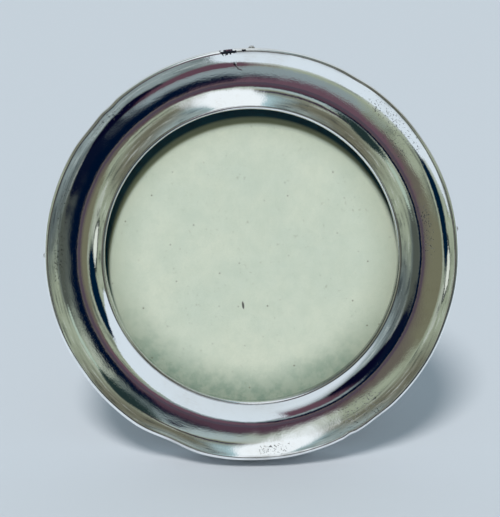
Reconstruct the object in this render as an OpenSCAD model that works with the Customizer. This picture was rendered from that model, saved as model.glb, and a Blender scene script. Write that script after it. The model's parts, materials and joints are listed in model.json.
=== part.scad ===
// Round table photo frame: a coved silver front pinned over a turned oak ring,
// with glass, card, an oak back held by three turn buttons, and a hinged easel strut.
// The frame stands at the origin on z = 0 and faces -y.

/* [Silver front] */
// Diameter over the silver skirt
front_d = 116; // [110:1:150]
// Diameter of the opening, the sight size
sight_d = 82.4; // [70:0.2:85]
// Thickness of the silver sheet
silver_t = 0.4; // [0.3:0.05:0.6]
// Distance from the opening to the deepest line of the face
valley_in = 6.6; // [6:0.1:8]
// Radius of the wide cove that rises to the opening
inner_cove_r = 11.6; // [9:0.1:16]
// Slope of the plain band between the two coves
band_slope = 9; // [4:0.5:14]
// How far inside the skirt the plain band ends
band_inset = 4.9; // [4:0.1:6]
// Radius of the small cove between the plain band and the outer crest
outer_cove_r = 7.5; // [6:0.5:20]
// Rounding of the crest beside the opening
lip_round = 0.7; // [0.65:0.05:1]
// Rounding of the outer crest
crest_round = 0.8; // [0.7:0.05:1.2]
// Rounding where the skirt folds over the back
fold_round = 0.9; // [0.7:0.05:1.5]
// Width of the hem folded flat on the back
hem_w = 2.1; // [1.5:0.1:2.4]

/* [Rim pins] */
// Radius of a pin's domed head
pin_head_r = 1; // [1:0.05:1.4]
// Height of the dome over the skirt
pin_dome = 0.95; // [0.3:0.05:1]
// Radius of a pin's shank
pin_shank_r = 0.4; // [0.3:0.05:0.6]
// Length of a shank under the head
pin_len = 6; // [3:0.5:8]
// Height of the pins over the back of the oak
pin_h = 6.4; // [3.5:0.1:7]

/* [Glass and cards] */
// Thickness of the glass
glass_t = 2; // [1.5:0.1:3]
// Thickness of the pale card behind the glass
card_t = 0.45; // [0.3:0.05:1]
// Thickness of the strawboard packing
packing_t = 1.5; // [0.5:0.1:3]
// How far the glass rebate reaches outside the opening
glass_lap = 5; // [4:0.1:6]

/* [Oak ring and back] */
// Thickness of oak under the deepest line of the silver
tongue_t = 1.1; // [0.8:0.1:2]
// Thickness of the back panel
panel_t = 3.2; // [2.5:0.1:4]
// Width of the ledge that the back panel seats on
panel_lap = 1.8; // [1.5:0.1:2.4]
// Bevel round the back panel and its seat
panel_bevel = 0.5; // [0.2:0.1:1]

/* [Turn buttons] */
// Gap between a button's round end and the silver hem
button_inset = 0.3; // [0.2:0.1:1]
// Radius of a button's round end
button_r = 3; // [2.6:0.1:3.2]
// How far the tip reaches over the back panel
button_hold = 4.4; // [3:0.1:5]
// Width of the tip
button_tip_w = 4; // [3:0.5:5]
// Thickness of the brass sheet
brass_t = 0.8; // [0.5:0.1:1]
// Radius of a button screw's shank
screw_r = 1.1; // [0.8:0.1:1.4]

/* [Easel strut] */
// Angle at which the frame leans back
lean = 15; // [8:1:20]
// Angle between the strut and the back when it is open
opening = 25; // [16:1:32]
// Thickness of the oak strut
strut_t = 3.2; // [2:0.1:5]
// Width of the strut at its hinge end
strut_top_w = 15; // [12:0.5:20]
// Width of the strut at its foot
strut_foot_w = 28; // [20:1:36]
// How far the long sides of the strut curve in
strut_waist = 1.6; // [0:0.1:2.5]
// Height of the arch cut into the foot
arch_rise = 2.4; // [1:0.1:4]
// Width of the arch cut into the foot
arch_w = 16; // [10:1:20]

/* [Easel hinge] */
// Radius of the hinge pin
hinge_pin_r = 0.7; // [0.5:0.05:0.9]
// Outer radius of the knuckles
knuckle_r = 1.6; // [1.4:0.05:2]
// Height of the hinge plate above its pin
plate_up = 11; // [10:0.5:14]
// Gap between the hinge plate and the tip of the top turn button
plate_drop = 4.6; // [2:0.2:10]
// Width of each of the plate's two knuckles
ear_w = 4; // [3.6:0.1:6]
// Width of the single knuckle on the strut
strut_knuckle_w = 7.7; // [6:0.1:9]
// Length of the stop heel that meets the plate
heel_len = 4; // [3:0.5:5]
// Length of the leaf that lies under the strut
leaf_len = 14.5; // [13:0.5:18]
// How far the leaf's sides lie inside the strut's
leaf_inset = 1.5; // [0.5:0.1:2]
// Radius of a hinge screw's or rivet's shank
rivet_r = 0.7; // [0.5:0.05:0.9]

/* [Hidden] */
$fn = 96;
arc_steps = 10;

// Clearances
bedding = 0.1;      // pitch between the silver and the oak
seat_gap = 0.05;    // between pieces stacked in the rebate
edge_gap = 0.3;     // round discs in their rebates
hole_gap = 0.02;    // pins driven into their holes
turn_gap = 0.05;    // running fits
rub_gap = 0.1;      // sliding faces that must not bind
knuckle_gap = 0.15; // beside the middle knuckle
swing_gap = 0.3;    // sheet edges that pass a knuckle
screw_gap = 0.6;    // wood left between a button screw and a rim pin

// Radii
front_r = front_d / 2;
sight_r = sight_d / 2;
band_r = front_r - band_inset;
valley_r = sight_r + valley_in;
hem_r = front_r - hem_w;
oak_r = front_r - silver_t - bedding;
tongue_r = sight_r + silver_t + bedding;
glass_rebate_r = sight_r + glass_lap;
panel_seat_r = glass_rebate_r + panel_lap;
button_pivot_r = hem_r - button_inset - button_r;
button_reach = button_pivot_r - panel_seat_r + button_hold;

// Heights over the back of the oak, each piece stacked on the one behind it
hem_h = -(silver_t + bedding);
panel_seat_h = panel_t + seat_gap;
packing_h = panel_seat_h + packing_t;
card_h = packing_h + seat_gap + card_t;
glass_h = card_h + seat_gap + glass_t;
rebate_depth = glass_h + rub_gap;
valley_h = rebate_depth + tongue_t + bedding + silver_t;
pin_clock = [0, 82.5, 181, 270];
button_clock = [0, 120, 240];
screw_depth = pin_h - pin_shank_r - screw_gap;
plate_screw_depth = 0.75 * panel_t;

// Hinge and strut, measured from the back of the panel
hinge_up = panel_seat_r - button_hold - plate_drop - plate_up;
plate_w = strut_knuckle_w + 2 * (knuckle_gap + ear_w);
leaf_w = strut_top_w - 2 * leaf_inset;
hinge_out = knuckle_r + knuckle_gap;
leaf_in = knuckle_gap;
strut_in = leaf_in + brass_t;
strut_out = strut_in + strut_t;
strut_tilt = opening - lean;
strut_head = knuckle_r + swing_gap + 1;

// The skirt's rear corner stands on the table at z = 0
fold_centre_h = hem_h + fold_round;
centre_z = (front_r - fold_round) * cos(lean) - fold_centre_h * sin(lean) + fold_round;
hinge_z = centre_z + hinge_up * cos(lean) - hinge_out * sin(lean);
hinge_y = hinge_up * sin(lean) + hinge_out * cos(lean);
function foot_at(m) = (hinge_z + (m - hinge_out) * sin(strut_tilt)) / cos(strut_tilt);
foot_y = hinge_y + foot_at(strut_out) * sin(strut_tilt) + (strut_out - hinge_out) * cos(strut_tilt);

function arc(c, r, a0, a1, n = arc_steps) =
    [for (i = [0:n]) let(a = a0 + (a1 - a0) * i / n) c + r * [cos(a), sin(a)]];
function unit(v) = v / norm(v);
function reversed(p) = [for (i = [len(p) - 1:-1:0]) p[i]];
// Drops points that repeat the one before them
function clean(p) = [for (i = [0:len(p) - 1]) if (i == 0 || norm(p[i] - p[i - 1]) > 1e-6) p[i]];
// The same line moved by d to its right-hand side
function beside(p, d) =
    [for (i = [0:len(p) - 1])
        let(before = i == 0 ? p[1] - p[0] : p[i] - p[i - 1],
            after = i == len(p) - 1 ? before : p[i + 1] - p[i],
            way = unit(unit(before) + unit(after)))
        p[i] + d * [way[1], -way[0]] / max(0.5, way * unit(before))];

// Centres of the arcs in the face, as [radius from the axis, height over the oak's back]
inner_cove_c = [valley_r, valley_h + inner_cove_r];
lip_c = [sight_r + lip_round, inner_cove_c[1]
         - sqrt(pow(inner_cove_r + lip_round, 2) - pow(valley_r - sight_r - lip_round, 2))];
lip_turn = atan2(inner_cove_c[1] - lip_c[1], inner_cove_c[0] - lip_c[0]);
band_start = inner_cove_c + inner_cove_r * [sin(band_slope), -cos(band_slope)];
band_h = band_start[1] + (band_r - band_start[0]) * tan(band_slope);
outer_cove_c = [band_r, band_h] + outer_cove_r * [-sin(band_slope), cos(band_slope)];
crest_c = [front_r - crest_round, outer_cove_c[1]
           - sqrt(pow(outer_cove_r + crest_round, 2) - pow(front_r - crest_round - outer_cove_c[0], 2))];
crest_turn = atan2(crest_c[1] - outer_cove_c[1], crest_c[0] - outer_cove_c[0]);
fold_c = [front_r - fold_round, fold_centre_h];

// The silver's outer line, from the glass over the face and down the skirt to the fold
face = clean(concat(
    [[sight_r, glass_h + seat_gap]],
    arc(lip_c, lip_round, 180, lip_turn),
    arc(inner_cove_c, inner_cove_r, 180 + lip_turn, 270 + band_slope),
    arc(outer_cove_c, outer_cove_r, 270 + band_slope, 360 + crest_turn),
    arc(crest_c, crest_round, 180 + crest_turn, 0),
    arc(fold_c, fold_round, 0, -90)));

// The frame sits upright in its own plane, then leans back and is centred over the table
front_y = (front_r - crest_round) * sin(lean) + crest_c[1] * cos(lean) + crest_round;
module lean_back() {
    translate([0, (front_y - foot_y) / 2, centre_z]) rotate([-lean, 0, 0]) children();
}

// Spins a profile about the frame's axis, with heights towards the viewer
module turned(profile) {
    rotate([90, 0, 0]) rotate_extrude() polygon(profile);
}

// A flat disc between two heights with an arris on both edges
module disc(r, low, high, arris) {
    turned([[0, low], [r - arris, low], [r, low + arris], [r, high - arris], [r - arris, high], [0, high]]);
}

// Puts a child at a clock angle on the ring, pointing outwards along z
module at_clock(angle, r) {
    rotate([0, angle, 0]) translate([0, 0, r]) children();
}

// Draws a flat shape on the back, its y running down and its thickness to the rear
module sheet(from, t) {
    translate([0, from, 0]) rotate([-90, 0, 0]) linear_extrude(t) children();
}

// Draws a side view, [distance down, distance behind], across a width
module across(w) {
    rotate([0, 90, 0]) linear_extrude(w, center = true) children();
}

// A rod that points to the rear
module rod(r, from, len) {
    translate([0, from, 0]) rotate([-90, 0, 0]) cylinder(r = r, h = len);
}

// A domed head on a shank, with the head on z = 0 and the shank below
module domed_pin(head_r, dome, shank_r, len) {
    ball_r = (head_r * head_r + dome * dome) / (2 * dome);
    edge = asin(head_r / ball_r);
    rotate_extrude() polygon(clean(concat(
        [[0, -len], [shank_r, -len + shank_r], [shank_r, 0]],
        arc([0, dome - ball_r], ball_r, 90 - edge, 90))));
}

// The same pin pointing to the rear, with a slot across its head
module slotted_screw(head_r, dome, shank_r, len, slot_turn) {
    slot_w = head_r / 3.5;
    rotate([-90, 0, 0]) difference() {
        domed_pin(head_r, dome, shank_r, len);
        rotate([0, 0, slot_turn]) translate([-head_r, -slot_w / 2, dome * 0.5])
            cube([2 * head_r, slot_w, dome]);
    }
}

module pin_holes() {
    for (a = pin_clock)
        at_clock(a, oak_r - pin_len) translate([0, -pin_h, 0])
            cylinder(r = pin_shank_r + hole_gap, h = 2 * pin_len);
}

module silver_front() {
    color([0.80, 0.82, 0.83]) difference() {
        turned(concat(face, [[hem_r, hem_h]],
                      [[hem_r, hem_h + silver_t]], reversed(beside(face, silver_t))));
        pin_holes();
    }
}

module rim_pins() {
    color([0.74, 0.76, 0.77])
        for (a = pin_clock)
            at_clock(a, front_r + turn_gap) translate([0, -pin_h, 0])
                domed_pin(pin_head_r, pin_dome, pin_shank_r, pin_len);
}

module oak_ring() {
    bed = [for (p = beside(face, silver_t + bedding)) if (p[1] >= rebate_depth) p];
    fold = arc(fold_c, fold_round - silver_t - bedding, 0, -90);
    color([0.46, 0.30, 0.17]) difference() {
        turned(clean(concat(
            [[tongue_r, rebate_depth]],
            bed,
            fold,
            [[panel_seat_r + panel_bevel, 0], [panel_seat_r, panel_bevel],
             [panel_seat_r, panel_seat_h], [glass_rebate_r, panel_seat_h],
             [glass_rebate_r, rebate_depth]])));
        pin_holes();
        for (a = button_clock)
            at_clock(a, button_pivot_r) rod(screw_r + hole_gap, -screw_depth, 2 * screw_depth);
    }
}

module glass() {
    color([0.80, 0.90, 0.88, 0.35])
        disc(glass_rebate_r - edge_gap, glass_h - glass_t, glass_h, 0.25);
}

module picture_card() {
    color([0.80, 0.83, 0.74])
        disc(glass_rebate_r - 2 * edge_gap, card_h - card_t, card_h, 0.05);
}

module packing_board() {
    color([0.62, 0.52, 0.36])
        disc(glass_rebate_r - 2 * edge_gap, panel_seat_h, packing_h, 0.1);
}

module back_panel() {
    panel_r = panel_seat_r - edge_gap;
    color([0.50, 0.33, 0.19]) difference() {
        turned([[0, 0], [panel_r - panel_bevel, 0], [panel_r, panel_bevel],
                [panel_r, panel_t], [0, panel_t]]);
        plate_screw_places() rod(rivet_r + hole_gap, -plate_screw_depth, 2 * plate_screw_depth);
    }
}

// Turn button: a bowed brass arm whose tip presses on the back panel
module turn_button(angle) {
    bow = 0.5;
    bowed = [[-button_r, 0], [button_r - 0.4, 0], [button_reach * 0.48, bow],
             [button_reach * 0.74, bow], [button_reach * 0.9, 0], [button_reach, 0.15]];
    color([0.72, 0.56, 0.27]) at_clock(angle, button_pivot_r) difference() {
        intersection() {
            across(2 * button_r) translate([0, rub_gap])
                polygon(concat(bowed, reversed([for (p = bowed) p + [0, brass_t]])));
            sheet(0, brass_t * 3) {
                circle(button_r);
                polygon([[-button_r + 0.1, 0.8], [button_r - 0.1, 0.8],
                         [button_tip_w / 2, button_reach - 1], [-button_tip_w / 2, button_reach - 1]]);
                translate([-button_tip_w / 2 + 1, button_reach - 2]) square([button_tip_w - 2, 2]);
                for (side = [-1, 1])
                    translate([side * (button_tip_w / 2 - 1), button_reach - 1]) circle(1);
            }
        }
        rod(screw_r + turn_gap, -1, 6);
    }
}
module turn_button_top() { turn_button(button_clock[0]); }
module turn_button_right() { turn_button(button_clock[1]); }
module turn_button_left() { turn_button(button_clock[2]); }

module button_screws() {
    color([0.66, 0.50, 0.24])
        for (a = button_clock)
            at_clock(a, button_pivot_r) translate([0, brass_t + 2 * rub_gap, 0])
                slotted_screw(2 * screw_r, screw_r, screw_r, screw_depth + brass_t + rub_gap, 35 + a / 2);
}

// Easel hinge: a plate on the back panel, a leaf under the strut and one pin
module at_hinge() {
    translate([0, hinge_out, hinge_up]) children();
}

// Draws the strut's pieces as if folded flat, then swings them open about the pin
module opened() {
    at_hinge() rotate([opening, 0, 0]) translate([0, -hinge_out, 0]) children();
}

module barrel(w, r) {
    rotate([0, 90, 0]) cylinder(r = r, h = w, center = true);
}

module plate_screw_places() {
    side = plate_w / 2 - 0.6 * ear_w;
    for (p = [[-side, 4.2], [side, 4.2], [0, plate_up - 2.6]])
        translate([p[0], 0, hinge_up + p[1]]) children();
}

module hinge_plate() {
    corner = 2;
    color([0.70, 0.54, 0.26]) difference() {
        union() {
            translate([0, 0, hinge_up]) sheet(0, brass_t) {
                translate([-plate_w / 2, -plate_up + corner]) square([plate_w, plate_up - corner]);
                translate([-plate_w / 2 + corner, -plate_up]) square([plate_w - 2 * corner, corner]);
                for (side = [-1, 1])
                    translate([side * (plate_w / 2 - corner), -plate_up + corner]) circle(corner);
            }
            for (side = [-1, 1])
                at_hinge() translate([side * (plate_w - ear_w) / 2, 0, 0]) barrel(ear_w, knuckle_r);
        }
        at_hinge() barrel(2 * plate_w, hinge_pin_r + hole_gap);
        translate([-strut_knuckle_w / 2 - knuckle_gap, -1, hinge_up - 2 * knuckle_r])
            cube([strut_knuckle_w + 2 * knuckle_gap, 6, 3 * knuckle_r + swing_gap]);
        plate_screw_places() rod(rivet_r + hole_gap, -1, 4);
    }
}

module plate_screws() {
    color([0.66, 0.50, 0.24])
        plate_screw_places() translate([0, brass_t + hole_gap, 0])
            slotted_screw(2 * rivet_r, rivet_r, rivet_r, plate_screw_depth + brass_t, 20);
}

module hinge_pin() {
    head_w = 0.8;
    color([0.60, 0.61, 0.62]) at_hinge() {
        barrel(plate_w + 2 * rub_gap, hinge_pin_r);
        for (side = [-1, 1])
            translate([side * (plate_w / 2 + rub_gap + head_w / 2), 0, 0])
                barrel(head_w, (hinge_pin_r + knuckle_r) / 2);
    }
}

// Rivet places on the strut, as distance across and distance down from the pin
rivet_places = [[-0.3 * leaf_w, 0.46 * leaf_len], [0.3 * leaf_w, 0.46 * leaf_len], [0, 0.8 * leaf_len]];

module strut_leaf() {
    neck = knuckle_r + swing_gap;
    corner = 2.5;
    color([0.72, 0.56, 0.27]) opened() difference() {
        union() {
            sheet(leaf_in, brass_t) {
                translate([-leaf_w / 2, neck]) square([leaf_w, leaf_len - neck - corner]);
                translate([-leaf_w / 2 + corner, neck]) square([leaf_w - 2 * corner, leaf_len - neck]);
                for (side = [-1, 1])
                    translate([side * (leaf_w / 2 - corner), leaf_len - corner]) circle(corner);
                translate([-strut_knuckle_w / 2, 0]) square([strut_knuckle_w, neck + 1]);
            }
            translate([0, hinge_out, 0]) barrel(strut_knuckle_w, knuckle_r);
            translate([0, hinge_out, 0]) rotate([-opening, 0, 0])
                translate([-strut_knuckle_w / 2, brass_t + rub_gap - hinge_out, 0])
                    cube([strut_knuckle_w, brass_t, knuckle_r + heel_len]);
        }
        translate([0, hinge_out, 0]) barrel(2 * plate_w, hinge_pin_r + turn_gap);
        for (p = rivet_places)
            translate([p[0], 0, -p[1]]) rod(rivet_r + hole_gap, -1, 4);
    }
}

// One long side of the strut, curving in between the hinge end and the foot
function strut_side(side, long) =
    let(top = [side * strut_top_w / 2, strut_head], foot = [side * strut_foot_w / 2, long])
    [for (i = [0:12]) let(t = i / 12)
        top + (foot - top) * t - [side * 4 * strut_waist * t * (1 - t), 0]];

module strut() {
    chamfer = 1.2;
    long = foot_at(strut_out) + 1;
    toe = foot_at((strut_in + strut_out) / 2);
    arch_r = (pow(arch_w / 2, 2) + pow(arch_rise, 2)) / (2 * arch_rise);
    color([0.48, 0.31, 0.18]) opened() difference() {
        intersection() {
            sheet(strut_in, strut_t) polygon(concat(strut_side(-1, long), reversed(strut_side(1, long))));
            across(strut_foot_w + 2)
                polygon([[strut_head, strut_in], [foot_at(strut_in), strut_in],
                         [foot_at(strut_out), strut_out], [strut_head + chamfer, strut_out],
                         [strut_head, strut_out - chamfer]]);
        }
        translate([0, 0, -toe - arch_r + arch_rise]) rod(arch_r, -1, strut_out + 3);
        for (p = rivet_places)
            translate([p[0], 0, -p[1]]) rod(rivet_r + hole_gap, -1, strut_out + 3);
    }
}

module strut_rivets() {
    color([0.66, 0.50, 0.24]) opened()
        for (p = rivet_places)
            translate([p[0], strut_out + hole_gap, -p[1]]) rotate([-90, 0, 0])
                domed_pin(1.4, 0.6, rivet_r, strut_t + brass_t);
}

lean_back() silver_front();
lean_back() rim_pins();
lean_back() oak_ring();
lean_back() glass();
lean_back() picture_card();
lean_back() packing_board();
lean_back() back_panel();
lean_back() turn_button_top();
lean_back() turn_button_right();
lean_back() turn_button_left();
lean_back() button_screws();
lean_back() hinge_plate();
lean_back() plate_screws();
lean_back() hinge_pin();
lean_back() strut_leaf();
lean_back() strut();
lean_back() strut_rivets();
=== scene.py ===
# Looks of a small round table frame: a coved silver front over an oak ring, glass, a pale card,
# an oak back held by turn buttons, and a hinged easel strut.
import json
from math import atan2, cos, degrees, hypot, pi, radians, sin, sqrt

import bmesh
import bpy
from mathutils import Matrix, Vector, noise


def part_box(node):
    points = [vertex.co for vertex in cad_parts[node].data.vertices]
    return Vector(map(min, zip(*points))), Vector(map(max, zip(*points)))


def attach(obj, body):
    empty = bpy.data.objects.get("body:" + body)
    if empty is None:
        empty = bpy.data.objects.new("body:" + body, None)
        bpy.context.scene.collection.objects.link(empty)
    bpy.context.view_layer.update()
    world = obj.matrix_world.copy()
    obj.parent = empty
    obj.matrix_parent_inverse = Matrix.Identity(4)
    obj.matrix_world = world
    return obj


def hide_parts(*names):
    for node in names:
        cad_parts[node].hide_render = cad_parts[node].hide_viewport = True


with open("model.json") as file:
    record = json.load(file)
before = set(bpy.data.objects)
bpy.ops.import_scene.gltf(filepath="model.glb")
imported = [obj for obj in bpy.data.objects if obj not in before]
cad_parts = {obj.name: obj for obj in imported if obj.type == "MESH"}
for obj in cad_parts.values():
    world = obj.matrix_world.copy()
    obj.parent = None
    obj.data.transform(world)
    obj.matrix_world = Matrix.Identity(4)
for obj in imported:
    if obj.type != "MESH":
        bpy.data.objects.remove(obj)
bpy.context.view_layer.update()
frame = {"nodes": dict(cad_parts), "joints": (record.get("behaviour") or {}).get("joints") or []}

# The oak ring.
# A turned ring of old oak that carries the whole frame. It is rebated for the glass and for the
# back panel, and its face is shaped to back the silver, which is why it has the same dents.
front_r = 58.0
sight_r = 41.2
silver_t = 0.4
bedding = 0.1
glass_rebate_r = 46.2
panel_seat_r = 48.0
panel_seat_h = 3.25
rebate_depth = 7.4
valley_r = 47.8
valley_h = 9.0
inner_cove_r = 11.6
band_slopes = (7, 11)
band_hollow_r = 56.4
outer_cove_r = 8.66
band_r = 53.1
lip_round = 0.7
crest_round = 0.8
fold_round = 0.9
hem_r = 55.9
hem_h = -0.5
glass_front_h = 7.35
glass_middle_h = 6.3

joints = {joint["name"]: joint for joint in frame["joints"]}
rearward = Vector(joints["button_top_turn"]["axis"])
upward = Vector((0, -rearward.z, rearward.y))
rightward = Vector((1, 0, 0))
glass_low, glass_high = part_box("glass")
centre = (glass_low + glass_high) / 2 + rearward * glass_middle_h / 1000


def place(across, along, height):
    """A point given in millimetres on the leaning frame, with its height towards the viewer."""
    return centre + (rightward * across + upward * along - rearward * height) / 1000


def at_clock(clock, radius, height):
    """A point at a clock angle in degrees from the top, turning to the viewer's right."""
    turn = radians(clock)
    return place(radius * sin(turn), radius * cos(turn), height)


def ease(value, low, high):
    """Runs smoothly from 0 at low to 1 at high."""
    share = min(1, max(0, (value - low) / (high - low)))
    return share * share * (3 - 2 * share)


def arc(middle, radius, start, stop, steps):
    """Points on an arc of the section, with angles in degrees from the outward direction."""
    turns = [radians(start + (stop - start) * i / steps) for i in range(steps + 1)]
    return [(middle[0] + radius * cos(a), middle[1] + radius * sin(a)) for a in turns]


def unit(x, y):
    """The same direction with a length of 1."""
    length = hypot(x, y)
    return x / length, y / length


def beside(line, distance):
    """The same line moved sideways, to its right-hand side."""
    moved = []
    for i, point in enumerate(line):
        after = line[min(i + 1, len(line) - 1)]
        before = line[max(i - 1, 0)]
        ahead = unit(after[0] - point[0], after[1] - point[1]) if after != point else None
        back = unit(point[0] - before[0], point[1] - before[1]) if before != point else None
        ahead, back = ahead or back, back or ahead
        way = unit(ahead[0] + back[0], ahead[1] + back[1])
        reach = distance / max(0.5, way[0] * back[0] + way[1] * back[1])
        moved.append((point[0] + reach * way[1], point[1] - reach * way[0]))
    return moved


def next_cove(middle, radius, slope, new_radius):
    """The middle of a cove that carries on from the last one at a slope, without a break."""
    step = new_radius - radius
    return middle[0] - step * sin(radians(slope)), middle[1] + step * cos(radians(slope))


def section_of_face():
    """The line of the silver's outer side, from the glass over the face to the fold at the back."""
    first, last = band_slopes
    inner = (valley_r, valley_h + inner_cove_r)
    rise = sqrt((inner_cove_r + lip_round) ** 2 - (valley_r - sight_r - lip_round) ** 2)
    lip = (sight_r + lip_round, inner[1] - rise)
    lip_turn = degrees(atan2(inner[1] - lip[1], inner[0] - lip[0]))
    band = next_cove(inner, inner_cove_r, first, band_hollow_r)
    outer = next_cove(band, band_hollow_r, last, outer_cove_r)
    crest_r = front_r - crest_round
    rise = sqrt((outer_cove_r + crest_round) ** 2 - (crest_r - outer[0]) ** 2)
    crest = (crest_r, outer[1] - rise)
    crest_turn = degrees(atan2(crest[1] - outer[1], crest[0] - outer[0]))
    fold = (front_r - fold_round, hem_h + fold_round)
    wall = [(sight_r, glass_front_h + (lip[1] - glass_front_h) * i / 4) for i in range(4)]
    skirt = [(front_r, crest[1] + (fold[1] - crest[1]) * i / 9) for i in range(1, 9)]
    return (wall + arc(lip, lip_round, 180, lip_turn, 9)
            + arc(inner, inner_cove_r, 180 + lip_turn, 270 + first, 18)[1:]
            + arc(band, band_hollow_r, 270 + first, 270 + last, 6)[1:-1]
            + arc(outer, outer_cove_r, 270 + last, 360 + crest_turn, 14)
            + arc(crest, crest_round, 180 + crest_turn, 0, 14)[1:] + skirt
            + arc(fold, fold_round, 0, -90, 7))


# Knocks round the rim, as clock angle, half width in degrees and depth in millimetres
knocks = [(30, 7, 0.15), (55, 12, 0.12), (108, 14, 0.12), (142, 7, 0.2), (151, 2.4, 0.25),
          (178, 12, 0.12), (204, 13, 0.7), (236, 12, 0.14), (309, 9, 0.3), (317, 4, 0.25)]
face_ripple = 0.027
rim_ripple = 0.04


def knocked(clock, radius, height):
    """How far a point of the front has been pushed in and back, in millimetres."""
    inwards = 0
    for middle, width, depth in knocks:
        off = abs((clock - middle + 180) % 360 - 180)
        if off < width:
            inwards += depth * (0.5 + 0.5 * cos(pi * off / width)) ** 1.5
    turn = radians(clock)
    around = Vector((sin(turn), cos(turn), 0))
    inwards += rim_ripple * ease(noise.noise(around * 5), -0.1, 0.9)
    # Only the rim and the front of the skirt give way. The hem and the glass's seat stay true.
    share = ease(radius, 51.5, 57) * ease(height, -2, 6)
    ripple = noise.noise(around * radius / 8 + Vector((0, 0, 3)))
    ripple += 0.3 * noise.noise(around * radius / 3.2 + Vector((0, 0, 8)))
    seated = ease(height, 7.2, 9) * ease(radius, 41, 42.4)
    back = 0.4 * inwards * share - face_ripple * ripple * ease(radius, 41.5, 43)
    return inwards * share, back * seated


def spun(name, section, clocks, holed=None):
    """A closed section spun about the frame's axis. Where holed says which cells are worn through,
    the section's second half is the inner side of a sheet, and each hole gets its edges."""
    count, turns = len(section), len(clocks)
    points = []
    for clock in clocks:
        for radius, height in section:
            inwards, back = knocked(clock, radius, height)
            points.append(at_clock(clock, radius - inwards, height - back))
    faces = []
    for j in range(turns):
        here, there = j * count, (j + 1) % turns * count
        for i in range(count):
            n = (i + 1) % count
            if holed and holed(j, min(i, count - 2 - i)):
                continue
            faces.append((here + i, here + n, there + n, there + i))
        for i in range(count // 2 - 1) if holed else ():
            if not holed(j, i):
                continue
            inner, n = count - 1 - i, count - 2 - i
            if not holed(j, i - 1):
                faces.append((here + i, there + i, there + inner, here + inner))
            if not holed(j, i + 1):
                faces.append((there + i + 1, here + i + 1, here + n, there + n))
            if not holed((j - 1) % turns, i):
                faces.append((here + i + 1, here + i, here + inner, here + n))
            if not holed((j + 1) % turns, i):
                faces.append((there + i, there + i + 1, there + n, there + inner))
    mesh = bpy.data.meshes.new(name)
    mesh.from_pydata(points, [], faces)
    shell = bmesh.new()
    shell.from_mesh(mesh)
    bmesh.ops.recalc_face_normals(shell, faces=shell.faces)
    shell.to_mesh(mesh)
    shell.free()
    mesh.shade_smooth()
    mesh.set_sharp_from_angle(angle=radians(38))
    made = bpy.data.objects.new(name, mesh)
    bpy.context.scene.collection.objects.link(made)
    return made


class Wire:
    """An output in a node tree. Arithmetic on it adds the Math nodes for it."""

    def __init__(self, tree, socket=None):
        self.tree = tree
        self.socket = socket

    def node(self, kind, settings=None, inputs=None, output=0):
        made = self.tree.nodes.new("ShaderNode" + kind)
        for name, value in (settings or {}).items():
            setattr(made, name, value)
        for name, value in (inputs or {}).items():
            if isinstance(value, Wire):
                self.tree.links.new(value.socket, made.inputs[name])
            else:
                made.inputs[name].default_value = value
        return Wire(self.tree, made.outputs[output])

    def maths(self, operation, *values):
        return self.node("Math", {"operation": operation}, dict(enumerate(values)))

    def __add__(self, other):
        return self.maths("ADD", self, other)

    def __sub__(self, other):
        return self.maths("SUBTRACT", self, other)

    def __mul__(self, other):
        return self.maths("MULTIPLY", self, other)

    def __truediv__(self, other):
        return self.maths("DIVIDE", self, other)

    def __pow__(self, other):
        return self.maths("POWER", self, other)

    def __radd__(self, other):
        return self.maths("ADD", other, self)

    def __rsub__(self, other):
        return self.maths("SUBTRACT", other, self)

    def __rmul__(self, other):
        return self.maths("MULTIPLY", other, self)

    def __rtruediv__(self, other):
        return self.maths("DIVIDE", other, self)

    def ease(self, low, high):
        """Runs smoothly from 0 at low to 1 at high."""
        return self.node("MapRange", {"interpolation_type": "SMOOTHSTEP"}, {0: self, 1: low, 2: high})


def tint(red, green, blue):
    """A colour written as it shows on a screen, from 0 to 255."""
    shown = [c / 255 for c in (red, green, blue)]
    return tuple(c / 12.92 if c < 0.04 else ((c + 0.055) / 1.055) ** 2.4 for c in shown) + (1,)


def mixed(share, first, second):
    """The first colour where share is 0, the second where it is 1."""
    return share.node("Mix", {"data_type": "RGBA"}, {0: share, 6: first, 7: second}, 2)


def grain(where, scale, detail=3, roughness=0.55, distortion=0):
    """Cloudy noise from 0 to 1 at about scale lumps to the metre."""
    return where.node("TexNoise", None, {"Vector": where, "Scale": scale, "Detail": detail,
                                         "Roughness": roughness, "Distortion": distortion})


def new_finish(name):
    """A new material with its tree emptied."""
    finish = bpy.data.materials.new(name)
    finish.use_nodes = True
    finish.node_tree.nodes.clear()
    return finish, Wire(finish.node_tree)


def surface(finish, shader):
    """Ends a material's tree with its shader."""
    out = finish.node_tree.nodes.new("ShaderNodeOutputMaterial")
    finish.node_tree.links.new(shader.socket, out.inputs["Surface"])
    return finish


def stretched(start, along, squeeze, turned=(0, 0, 0)):
    """Object coordinates drawn out along one direction of the piece, turned by degrees."""
    where = start.node("TexCoord", None, None, "Object")
    drawn = [squeeze if axis == along else 1 for axis in "xyz"]
    turns = [radians(angle) for angle in turned]
    turned_first = {"vector_type": "TEXTURE"}
    return start.node("Mapping", turned_first, {"Vector": where, "Rotation": turns, "Scale": drawn})


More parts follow.
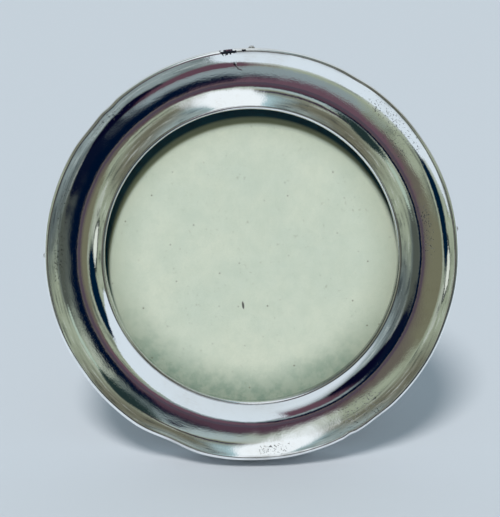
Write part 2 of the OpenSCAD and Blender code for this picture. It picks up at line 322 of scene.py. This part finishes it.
def oak(name, along, dark, light, turned, shine=0.42):
    """Old oak, with its grain along x, y or z of the piece and then turned by degrees."""
    finish, start = new_finish(name)
    growth = grain(stretched(start, along, 11, turned), 330, 3, 0.6, 0.25).ease(0.36, 0.66)
    fibres = grain(stretched(start, along, 18, turned), 2700, 4, 0.7)
    pores = grain(stretched(start, along, 22, turned), 4300, 2, 0.5).ease(0.57, 0.63)
    handled = grain(start.node("TexCoord", None, None, "Object"), 60, 3)
    colour = mixed(growth, dark, light)
    colour = mixed(fibres.ease(0.38, 0.7) * 0.4, colour, tint(150, 112, 74))
    colour = mixed(pores * 0.7 * (1.1 - growth * 0.6), colour, tint(34, 22, 14))
    colour = mixed(handled.ease(0.5, 0.75) * 0.45, colour, tint(52, 36, 24))
    height = fibres * 0.5 + growth * 0.15 - pores * 0.6
    bump = start.node("Bump", None, {"Strength": 0.35, "Distance": 0.0002, "Height": height})
    wood = start.node("BsdfPrincipled", None, {
        "Base Color": colour, "Roughness": shine + pores * 0.3 + handled * 0.15, "Normal": bump,
        "Coat Weight": 0.12, "Coat Roughness": 0.3})
    return surface(finish, wood)


def blackened():
    """Wood stained blue-black by damp, where the silver has worn through."""
    finish, start = new_finish("blackened_oak")
    damp = grain(start.node("TexCoord", None, None, "Object"), 1500, 3)
    colour = mixed(damp, tint(8, 12, 26), tint(26, 32, 46))
    return surface(finish, start.node("BsdfPrincipled", None, {"Base Color": colour, "Roughness": 0.7}))


face = section_of_face()
bed = [p for p in beside(face, silver_t + bedding) if p[1] >= rebate_depth]
clock_step = 0.75
coarse = [i * clock_step for i in range(round(360 / clock_step))]
fold_middle = (front_r - fold_round, hem_h + fold_round)
ring_section = ([(sight_r + silver_t + bedding, rebate_depth)] + bed
                + arc(fold_middle, fold_round - silver_t - bedding, 0, -90, 5)
                + [(panel_seat_r + 0.5, 0), (panel_seat_r, 0.5), (panel_seat_r, panel_seat_h),
                   (glass_rebate_r, panel_seat_h), (glass_rebate_r, rebate_depth)])
ring = spun("turned_oak_ring", ring_section, coarse)
ring_oak = oak("old_oak_ring", "x", tint(62, 42, 27), tint(112, 79, 50), (0, 12, 0))
ring.data.materials.append(ring_oak)
ring.data.materials.append(blackened())
black_clock = -6.4
black_clock_half = 6
black_from_r = 55
for polygon in ring.data.polygons:
    spot = polygon.center - centre
    off = degrees(atan2(spot.dot(rightward), spot.dot(upward))) - black_clock
    if abs(off) < black_clock_half and spot.length > black_from_r / 1000:
        polygon.material_index = 1
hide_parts("oak_ring")
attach(ring, "frame")


# The silver front.
# One thin sheet pressed into a wide cove, a plain band and a small outer cove, then drawn down as a
# skirt, folded over the back as a hem and pinned. Its crest is worn through in one place.
worn_clock = 353.4
worn_clock_half = 2.6
worn_run_half = 1.05
worn_reach = 6
second_clock = 357.8
second_clock_half = 0.7
second_run_half = 0.35
fine_from = 348
fine_to = 359.4
fine_step = 0.15
fine = [fine_from + i * fine_step for i in range(76)]
away = [c for c in coarse if not fine_from <= c <= fine_to]
clocks = sorted(set(round(c, 3) for c in away + fine))
inner_face = beside(face, silver_t)
hem_inner = [(hem_r, hem_h), (hem_r, hem_h + silver_t)]
sheet_section = face + hem_inner + inner_face[::-1]
crest_at = max(range(len(face)), key=lambda i: face[i][1] if face[i][0] > band_r else 0)


def along_face(i):
    """Distance along the section from the outer crest, in millimetres."""
    low, high = sorted((i, crest_at))
    run = sum(hypot(face[k + 1][0] - face[k][0], face[k + 1][1] - face[k][1]) for k in range(low, high))
    return run if i > crest_at else -run


run_at = [along_face(i) for i in range(len(face))]


def worn_through(j, i):
    """True where the crest has worn through to the wood."""
    if not 0 <= i < len(face) - 1:
        return False
    clock = clocks[j]
    if abs(clock - worn_clock) > worn_reach:
        return False
    ragged = noise.noise(Vector((clock * 1.3, run_at[i] * 2.2, 1))) * 0.9
    first = hypot((clock - worn_clock) / worn_clock_half, (run_at[i] - 0.1) / worn_run_half)
    second = hypot((clock - second_clock) / second_clock_half, (run_at[i] - 0.2) / second_run_half)
    return first + ragged * 0.55 < 0.95 or second + ragged * 0.4 < 0.9


def frame_face(start):
    """Sideways place, height on the leaning disc, radius and clock angle, all as wires."""
    where = start.node("TexCoord", None, None, "Object")
    offset = start.node("VectorMath", {"operation": "SUBTRACT"}, {0: where, 1: centre})
    across = start.node("VectorMath", {"operation": "DOT_PRODUCT"}, {0: offset, 1: rightward * 1000}, "Value")
    along = start.node("VectorMath", {"operation": "DOT_PRODUCT"}, {0: offset, 1: upward * 1000}, "Value")
    radius = (across * across + along * along) ** 0.5
    clock = start.maths("ARCTAN2", across, along) * (180 / pi)
    return across, along, radius, clock


def near_clock(clock, middle, width):
    """1 at a clock angle, easing to 0 at width degrees from it, with clock from -180 to 180."""
    off = clock.maths("ABSOLUTE", clock.maths("WRAP", clock - middle, 180, -180))
    return 1 - off.ease(width * 0.4, width)


def between(value, low, high, soft):
    """1 from low to high, easing to 0 at each end."""
    return value.ease(low - soft, low + soft) * (1 - value.ease(high - soft, high + soft))


def old_silver():
    """Polished silver with fine rubbing marks, pits, a brown bloom in hollows, dark edges, and painted shade
    on the lip's inner wall.
    """
    finish, start = new_finish("old_polished_silver")
    where = start.node("TexCoord", None, None, "Object")
    radius, clock = frame_face(start)[2:]
    around = start.node("CombineXYZ", None, {0: clock * 0.35, 1: radius * 1.8, 2: 0})
    rubbed = grain(around, 1.6, 4, 0.65)
    marks = grain(start.node("CombineXYZ", None, {0: clock * 0.9, 1: radius * 5, 2: 5}), 1, 2, 0.5)
    cloudy = grain(where, 75, 3, 0.6)
    small = grain(where, 620, 3, 0.6)
    specks = grain(where, 2300, 2, 0.6)
    # Where the pits are: clock angle, half width, from and to which radius, and how thickly
    pit_rows = [(47, 16, 53, 56.6, 1), (52, 8, 49.5, 51.5, 1), (81, 12, 48.6, 51.4, 1.5),
                (173, 6, 54, 56.3, 0.9), (-84, 18, 52.6, 55.6, 1.4), (144, 9, 50, 57.5, 1),
                (-46, 12, 54.5, 57.5, 1)]
    pitted = 0.03
    for middle, half, low, high, many in pit_rows:
        pitted = pitted + near_clock(clock, middle, half) * between(radius, low, high, 0.7) * many
    pits = (specks + cloudy * 0.22 + pitted * 0.08).ease(0.79, 0.84) * start.maths("MINIMUM", pitted * 3, 1)
    # A hooked crack in the outer cove
    hook = start.maths("MAXIMUM", 53.3 - radius, 0)
    crack = near_clock(clock + (radius - 54.4) * 0.2 - hook + small * 3, -3.55, 0.3)
    crack = crack * between(radius, 52.2, 54.4, 0.25)
    edge = between(radius, 56.6, 57.6, 0.4) * cloudy.ease(0.42, 0.62)
    # Painted shade on the lip's inner wall where it meets the glass, heaviest at the lower right
    lip_painted_shade = 1 - radius.ease(41.3, 41.9)
    lip_line = between(radius, 42.0, 42.2, 0.1) * rubbed.ease(0.2, 0.5)
    bloom = (cloudy.ease(0.48, 0.75) * 0.3 + small.ease(0.55, 0.8) * 0.15) * rubbed.ease(0.3, 0.7)
    colour = mixed(bloom, tint(246, 248, 248), tint(208, 198, 184))
    colour = mixed(edge * 0.3, colour, tint(96, 94, 96))
    colour = mixed(lip_painted_shade * (0.2 + near_clock(clock, 122, 55) * 0.6), colour, tint(46, 48, 48))
    colour = mixed(lip_line * 0.6, colour, tint(52, 58, 64))
    colour = mixed(pits * 0.8, colour, tint(34, 34, 42))
    colour = mixed(crack * 0.8, colour, tint(38, 36, 44))
    rough = 0.015 + rubbed * 0.025 + bloom * 0.1 + pits * 0.2 + edge * 0.2
    relief = rubbed * 0.3 + marks * 0.07 + small * 0.14 + specks * 0.3 - pits * 0.8 - crack * 2
    bump = start.node("Bump", None, {"Strength": 0.13, "Distance": 0.00012, "Height": relief})
    silver = start.node("BsdfPrincipled", None, {
        "Base Color": colour, "Metallic": 1.0, "Roughness": rough, "Normal": bump})
    return surface(finish, silver)


silver = old_silver()
front = spun("pressed_silver_front", sheet_section, clocks, worn_through)
front.data.materials.append(silver)
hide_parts("silver_front")
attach(front, "frame")


# The rim pins.
# Four domed silver pins, turned and polished, and driven through the skirt into the oak.
def dress(node, finish):
    """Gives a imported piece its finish."""
    mesh = frame["nodes"][node].data
    mesh.materials.clear()
    mesh.materials.append(finish)


def pin_silver():
    """Silver that polishing doesn't quite reach, dull in patches."""
    finish, start = new_finish("pin_silver")
    where = start.node("TexCoord", None, None, "Object")
    dull = grain(where, 1400, 3, 0.6)
    colour = mixed(dull.ease(0.4, 0.7) * 0.6, tint(205, 205, 203), tint(112, 104, 96))
    pin = start.node("BsdfPrincipled", None, {
        "Base Color": colour, "Metallic": 1.0, "Roughness": 0.18 + dull * 0.2})
    return surface(finish, pin)


dress("rim_pins", pin_silver())


# The glass.
# A round of thin old sheet glass, laid in the rebate against the silver's inner edge.
def sheet_glass():
    """Clear glass that mirrors a little, and more where it is seen at a slant."""
    finish, start = new_finish("sheet_glass")
    clear = start.node("BsdfTransparent", None, {"Color": (0.985, 0.992, 0.985, 1)})
    shine = start.node("BsdfPrincipled", None, {
        "Base Color": (0.95, 0.97, 0.96, 1), "Metallic": 1.0, "Roughness": 0.02})
    facing = start.node("LayerWeight", None, {"Blend": 0.5}, "Facing")
    mirrored = 0.018 + facing ** 5 * 0.9
    return surface(finish, start.node("MixShader", None, {0: mirrored, 1: clear, 2: shine}))


dress("glass", sheet_glass())


# The picture card.
# A blank card cut round, with fly specks and one dark mark. Painted shade makes it a little greener
# and browner towards its edge and darker at the bottom, and the silver's lip has a painted shadow across its
# top.
def pale_card():
    """Pale matt card, mottled by damp, with painted shade towards its edge and a painted shadow under the
    silver's lip.
    """
    finish, start = new_finish("pale_card")
    where = start.node("TexCoord", None, None, "Object")
    across, along, radius, clock = frame_face(start)
    clouds = grain(where, 45, 4, 0.6)
    fibres = grain(where, 2600, 3, 0.7)
    sheet = start.node("CombineXYZ", None, {0: across, 1: along})
    flat = {"voronoi_dimensions": "2D"}
    specks = 1 - start.node("TexVoronoi", flat, {"Vector": sheet, "Scale": 0.15}).ease(0.015, 0.055)
    specks = specks * grain(where, 170, 1).ease(0.5, 0.66)
    freckles = grain(where, 1000, 3, 0.6).ease(0.62, 0.72) * grain(where, 90, 2).ease(0.44, 0.6)
    mottling = grain(where, 260, 4, 0.65).ease(0.38, 0.66)
    below = along + 14.3
    mark_x = across + 2.4 + below * 0.12
    mark_y = below * 0.3
    mark = 1 - ((mark_x * mark_x + mark_y * mark_y) ** 0.5).ease(0.22, 0.42)
    # Painted shade: the card greener and darker towards its edge, and more so, mottled, at the bottom
    edge = radius.ease(30, 41.5)
    low = near_clock(clock, 184, 78) * (0.62 + mottling * 0.5)
    colour = mixed(clouds.ease(0.25, 0.75), tint(222, 223, 207), tint(208, 214, 201))
    colour = mixed(fibres.ease(0.34, 0.66) * 0.3 + mottling * 0.2, colour, tint(192, 200, 184))
    colour = mixed(edge * 0.38, colour, tint(158, 166, 142))
    colour = mixed(radius.ease(30, 41.6) * low * 0.72, colour, tint(124, 148, 134))
    colour = mixed(freckles * 0.35, colour, tint(140, 134, 112))
    colour = mixed(specks * 0.7, colour, tint(108, 98, 84))
    colour = mixed(mark * 0.9, colour, tint(64, 54, 58))
    # A painted shadow of the silver's lip across the top of the card, olive brown, with a dark teal core next
    # to the lip
    lip_shadow_x = across - 1.1
    lip_shadow_y = along + 4.3
    painted_lip_shadow = ((lip_shadow_x * lip_shadow_x + lip_shadow_y * lip_shadow_y) ** 0.5).ease(41.1, 42.1)
    lip_shadow_core_x = across - 0.55
    lip_shadow_core_y = along + 2.1
    painted_lip_shadow_core = ((lip_shadow_core_x * lip_shadow_core_x + lip_shadow_core_y * lip_shadow_core_y) ** 0.5).ease(40.7, 41.7)
    colour = mixed(painted_lip_shadow * 0.9, colour, tint(128, 128, 92))
    colour = mixed(painted_lip_shadow_core, colour, tint(4, 58, 66))
    bump = start.node("Bump", None, {"Strength": 0.2, "Distance": 0.0001, "Height": fibres})
    card = start.node("BsdfPrincipled", None, {
        "Base Color": colour, "Roughness": 0.85, "Normal": bump, "Specular IOR Level": 0.2})
    return surface(finish, card)


dress("picture_card", pale_card())


# The packing board.
# Coarse yellow strawboard that fills the rebate and presses the card against the glass.
def strawboard():
    """Rough yellow board with short flecks of straw."""
    finish, start = new_finish("strawboard")
    straw = stretched(start, "x", 6)
    flecks = grain(straw, 1500, 4, 0.75)
    colour = mixed(flecks, tint(148, 120, 78), tint(196, 170, 120))
    bump = start.node("Bump", None, {"Strength": 0.4, "Distance": 0.0002, "Height": flecks})
    board = start.node("BsdfPrincipled", None, {"Base Color": colour, "Roughness": 0.9, "Normal": bump})
    return surface(finish, board)


dress("packing_board", strawboard())


# The back panel.
# A thin round of oak, bevelled at the rear, that drops into the ring's seat with its grain upright.
dress("back_panel", oak("back_panel_oak", "z", tint(74, 51, 33), tint(128, 92, 60), (-15, 3, 0)))


# The turn buttons and their screws.
# Three arms cut and bowed from sheet brass, each turning on a round-headed screw in the ring.
def old_brass(name, bright, dull, shine):
    """Brass gone brown in places, with file marks along it."""
    finish, start = new_finish(name)
    where = start.node("TexCoord", None, None, "Object")
    patina = grain(where, 210, 4, 0.62)
    filed = grain(stretched(start, "x", 9), 4200, 2, 0.5)
    spots = grain(where, 1300, 2, 0.5).ease(0.6, 0.7)
    colour = mixed(patina.ease(0.35, 0.7), bright, dull)
    colour = mixed(spots * 0.6, colour, tint(70, 52, 32))
    relief = filed * 0.6 + patina * 0.5
    bump = start.node("Bump", None, {"Strength": 0.25, "Distance": 0.0001, "Height": relief})
    rough = shine + patina * 0.22 + filed * 0.08 + spots * 0.2
    brass = start.node("BsdfPrincipled", None, {
        "Base Color": colour, "Metallic": 1.0, "Roughness": rough, "Normal": bump})
    return surface(finish, brass)


button_brass = old_brass("turn_button_brass", tint(206, 170, 104), tint(142, 108, 62), 0.22)
screw_brass = old_brass("screw_brass", tint(192, 156, 92), tint(112, 84, 48), 0.26)
for node in ("turn_button_top", "turn_button_right", "turn_button_left"):
    dress(node, button_brass)
dress("button_screws", screw_brass)


# The easel hinge.
# A brass plate with two rolled knuckles, held by three slotted screws, and a headed steel pin.
hinge_brass = old_brass("hinge_brass", tint(200, 164, 98), tint(134, 102, 58), 0.24)
dress("hinge_plate", hinge_brass)
dress("plate_screws", screw_brass)


def pin_steel():
    """Drawn steel wire with spots of rust."""
    finish, start = new_finish("pin_steel")
    drawn = grain(stretched(start, "x", 12), 3600, 3, 0.6)
    rust = grain(start.node("TexCoord", None, None, "Object"), 900, 4, 0.7).ease(0.56, 0.7)
    colour = mixed(rust * 0.8, mixed(drawn, tint(150, 148, 146), tint(186, 184, 180)), tint(96, 58, 36))
    steel = start.node("BsdfPrincipled", None, {
        "Base Color": colour, "Metallic": 1 - rust * 0.7,
        "Roughness": 0.25 + drawn * 0.15 + rust * 0.4})
    return surface(finish, steel)


dress("hinge_pin", pin_steel())


# The easel strut.
# A tapered oak leg with an arched foot, riveted to a brass leaf whose knuckle and heel stop it.
dress("strut_leaf", hinge_brass)
dress("strut", oak("strut_oak", "z", tint(68, 46, 30), tint(120, 84, 54), (10, 0, 0), 0.38))
dress("strut_rivets", screw_brass)


# The table and the light.
# The frame stands on a plain pale table. The front edge of the table shows in the silver, and beyond
# it the soft room: one tall window of light, dull walls and a few dark cloths.
paint = tint(191, 195, 201)
mirrored_paint = tint(212, 215, 221)
table_half = 6
table_corners = [(x * table_half, y * table_half, 0) for x, y in ((-1, -1), (1, -1), (1, 1), (-1, 1))]
table_mesh = bpy.data.meshes.new("table")
table_mesh.from_pydata(table_corners, [], [(0, 1, 2, 3)])
table = bpy.data.objects.new("table", table_mesh)
bpy.context.scene.collection.objects.link(table)


def table_finish():
    """Pale paint. The silver sees the table only as far as it runs in each direction."""
    finish, start = new_finish("pale_table")
    where = start.node("NewGeometry", None, None, "Position")
    x = start.node("SeparateXYZ", None, {0: where}, 0)
    ahead = 0 - start.node("SeparateXYZ", None, {0: where}, 1)
    side = start.maths("ARCTAN2", x, ahead) * (180 / pi)
    # Metres of table in front of the frame: more of it to the left, and less to the right
    reach = 0.24 + side.ease(-34, -24) * 0.18 - side.ease(-6, 12) * 0.36
    beyond = (ahead - reach).ease(-0.015, 0.02)
    mirrored = start.node("LightPath", None, None, "Is Glossy Ray")
    clear = start.node("BsdfTransparent")
    top = start.node("BsdfPrincipled", None, {
        "Base Color": mixed(mirrored, paint, mirrored_paint), "Roughness": 0.7, "Specular IOR Level": 0.2})
    return surface(finish, start.node("MixShader", None, {0: mirrored * beyond, 1: top, 2: clear}))


table_mesh.materials.append(table_finish())


def room():
    """The world: an even light on everything, and the room for what the silver mirrors."""
    world = bpy.data.worlds.new("room")
    world.use_nodes = True
    world.node_tree.nodes.clear()
    bpy.context.scene.world = world
    start = Wire(world.node_tree)
    where = start.node("TexCoord", None, None, "Generated")
    x = start.node("SeparateXYZ", None, {0: where}, 0)
    y = start.node("SeparateXYZ", None, {0: where}, 1)
    z = start.node("SeparateXYZ", None, {0: where}, 2)
    side = start.maths("ARCTAN2", x, 0 - y) * (180 / pi)
    rise = start.maths("ARCSINE", z) * (180 / pi)

    def patch(below, colour, at, half, slant=0, soft=0.35):
        """Lays a soft oval over the room, at and half as degrees to the right and up."""
        c, s = cos(radians(slant)), sin(radians(slant))
        a, b = side - at[0], rise - at[1]
        u = (a * c + b * s) / half[0]
        v = (b * c - a * s) / half[1]
        off = (u * u + v * v) ** 0.5
        return mixed(1 - off.ease(1 - soft, 1 + soft), below, colour)

    # Two walls in four dull paints: pale at the table's height, sage, a dark band, and blue-grey on top.
    # The right wall stands in shade at its foot
    pale = tint(200, 210, 210)
    sage = tint(155, 165, 145)
    dark_band = tint(110, 110, 95)
    blue_grey = tint(140, 155, 155)
    left_wall = mixed(rise.ease(-20, -4), pale, sage)
    left_wall = mixed(rise.ease(18, 34), left_wall, dark_band)
    left_wall = mixed(rise.ease(36, 58), left_wall, blue_grey)
    right_wall = mixed(rise.ease(-4, 16), tint(95, 105, 105), sage)
    right_wall = mixed(rise.ease(22, 42), right_wall, dark_band)
    right_wall = mixed(rise.ease(46, 72), right_wall, blue_grey)
    shown = mixed(side.ease(-6, 14), left_wall, right_wall)
    shown = patch(shown, tint(138, 152, 154), (44, -34), (34, 22))
    shown = patch(shown, tint(168, 176, 162), (-34, 17), (8, 5))
    # Small dark and pale things about the room
    clutter = grain(where, 8, 5, 0.7, 0.4)
    shown = mixed(clutter.ease(0.5, 0.3) * 0.8, shown, tint(26, 34, 44))
    shown = mixed(clutter.ease(0.54, 0.7) * 0.7, shown, tint(204, 212, 208))
    # Low down at the left, a pale pane in a dark frame, and a dark blue cloth
    shown = patch(shown, tint(20, 30, 34), (-45, 9), (7.5, 7), 20, 0.15)
    shown = patch(shown, tint(220, 226, 216), (-45, 9), (5.5, 5), 20, 0.15)
    shown = patch(shown, tint(0, 26, 48), (-33, 0), (9.5, 11), 8, 0.2)
    # At the right, grey and dark cloths, down past the table's edge
    shown = patch(shown, tint(90, 100, 98), (22, 9), (13, 8))
    shown = patch(shown, tint(78, 84, 78), (21, 8), (9, 10), 0, 0.3)
    shown = patch(shown, tint(6, 8, 32), (18, -9), (8, 14), 28, 0.2)
    shown = patch(shown, tint(96, 70, 82), (6, -12), (7, 12), 12, 0.3)
    shown = patch(shown, tint(136, 150, 154), (1, -0.5), (9, 4), 0, 0.3)
    shown = patch(shown, tint(162, 178, 180), (6, 22.5), (6, 4), 0, 0.4)
    # Ahead, a dark blue curtain with brown and plum-coloured cloth over it
    shown = patch(shown, tint(8, 16, 38), (15, 1.5), (10, 4.5), -25, 0.35)
    shown = patch(shown, tint(0, 14, 38), (2.5, 10.5), (9, 10.5), 0, 0.1)
    shown = patch(shown, tint(98, 92, 86), (-4, 11), (9.6, 7.5), 0, 0.08)
    shown = patch(shown, tint(102, 78, 90), (-2.5, 5), (4, 4), -12, 0.25)
    shown = patch(shown, tint(80, 60, 72), (0.3, 16.3), (4.2, 4), 0, 0.25)
    shown = patch(shown, tint(80, 70, 82), (0.5, 10.5), (3.4, 3.2), 0, 0.15)
    shown = patch(shown, tint(114, 114, 94), (-16, 12), (9, 6), -12)
    # Higher up, a rail, a pale shelf and a dark green shade
    shown = patch(shown, tint(58, 48, 62), (9, 31), (12, 2.6), -15, 0.3)
    shown = patch(shown, tint(170, 188, 174), (20, 19), (5, 4), 0, 0.2)
    shown = patch(shown, tint(34, 50, 50), (17, 26), (12, 4), 32, 0.25)
    # The tall window, wider towards its top, the glow round it and the pale ceiling
    slope = 0 - (rise - 14) * 0.58
    edge = (rise - 30) * 0.25
    wedge = (side - slope).ease(-3, 3) * (1 - (side - edge).ease(-1.5, 1.5)) * rise.ease(13, 18)
    glow = (side - slope).ease(-12, 8) * (1 - (side - (rise - 30) * 0.3).ease(-2, 14)) * rise.ease(30, 50)
    shown = mixed(glow * 0.7, shown, tint(178, 212, 222))
    shown = mixed(wedge, shown, tint(243, 249, 253))
    shown = mixed(rise.ease(70, 84) * 0.8, shown, tint(215, 227, 234))
    behind = mixed(rise.ease(-5, 70), tint(150, 156, 158), tint(232, 238, 242))
    shown = mixed(y.ease(-0.15, 0.35), shown, behind)

    mirrored = start.node("LightPath", None, None, "Is Glossy Ray")
    ahead = mixed(z.ease(-0.02, 0.5), tint(58, 84, 98), tint(134, 154, 162))
    colour = mixed(y.ease(-0.3, 0.5), ahead, tint(205, 224, 234))
    colour = mixed(mirrored, colour, shown)
    colour = mixed(start.node("LightPath", None, None, "Is Camera Ray"), colour, tint(197, 208, 218))
    lit = start.node("Background", None, {"Color": colour, "Strength": 1.0})
    out = world.node_tree.nodes.new("ShaderNodeOutputWorld")
    world.node_tree.links.new(lit.socket, out.inputs["Surface"])


room()


# The window's light comes from the left and above. The lamp isn't mirrored, because the room shows
# the window.
window_azimuth = -13
window_elevation = 55
window = bpy.data.lights.new("window", "SUN")
window.energy = 2.66
window.angle = radians(14)
window.color = (1.0, 0.985, 0.965)
window_light = bpy.data.objects.new("window", window)
swing = radians(window_azimuth)
lift = radians(window_elevation)
from_window = Vector((sin(swing) * cos(lift), -cos(swing) * cos(lift), sin(lift)))
window_light.rotation_mode = "QUATERNION"
window_light.rotation_quaternion = from_window.to_track_quat("Z", "Y")
window_light.visible_glossy = False
bpy.context.scene.collection.objects.link(window_light)

# The camera stands 40 cm off, and frames the disc as the photograph does, in pixels of its frame
picture_w, picture_h = 500, 517
disc_pixels = 413
disc_at = (251.5, 256.5)
rim_h = 10
camera_far = 0.40
camera_elevation = 19.5
metres_per_pixel = 2 * front_r / 1000 / disc_pixels
sensor = 36
data = bpy.data.cameras.new("camera")
data.sensor_width = sensor
data.lens = sensor * camera_far / (metres_per_pixel * picture_h)
data.clip_start = 0.01
camera = bpy.data.objects.new("camera", data)
bpy.context.scene.collection.objects.link(camera)
bpy.context.scene.camera = camera
lift = radians(camera_elevation)
way = Vector((0, -cos(lift), sin(lift)))
above = Vector((0, sin(lift), cos(lift)))
middle = place(0, 0, rim_h)
target = (middle - rightward * (disc_at[0] - picture_w / 2) * metres_per_pixel
          + above * (disc_at[1] - picture_h / 2) * metres_per_pixel)
camera.location = middle + way * camera_far
camera.rotation_mode = "QUATERNION"
camera.rotation_quaternion = (camera.location - target).to_track_quat("Z", "Y")

bpy.context.scene.view_settings.view_transform = "Standard"
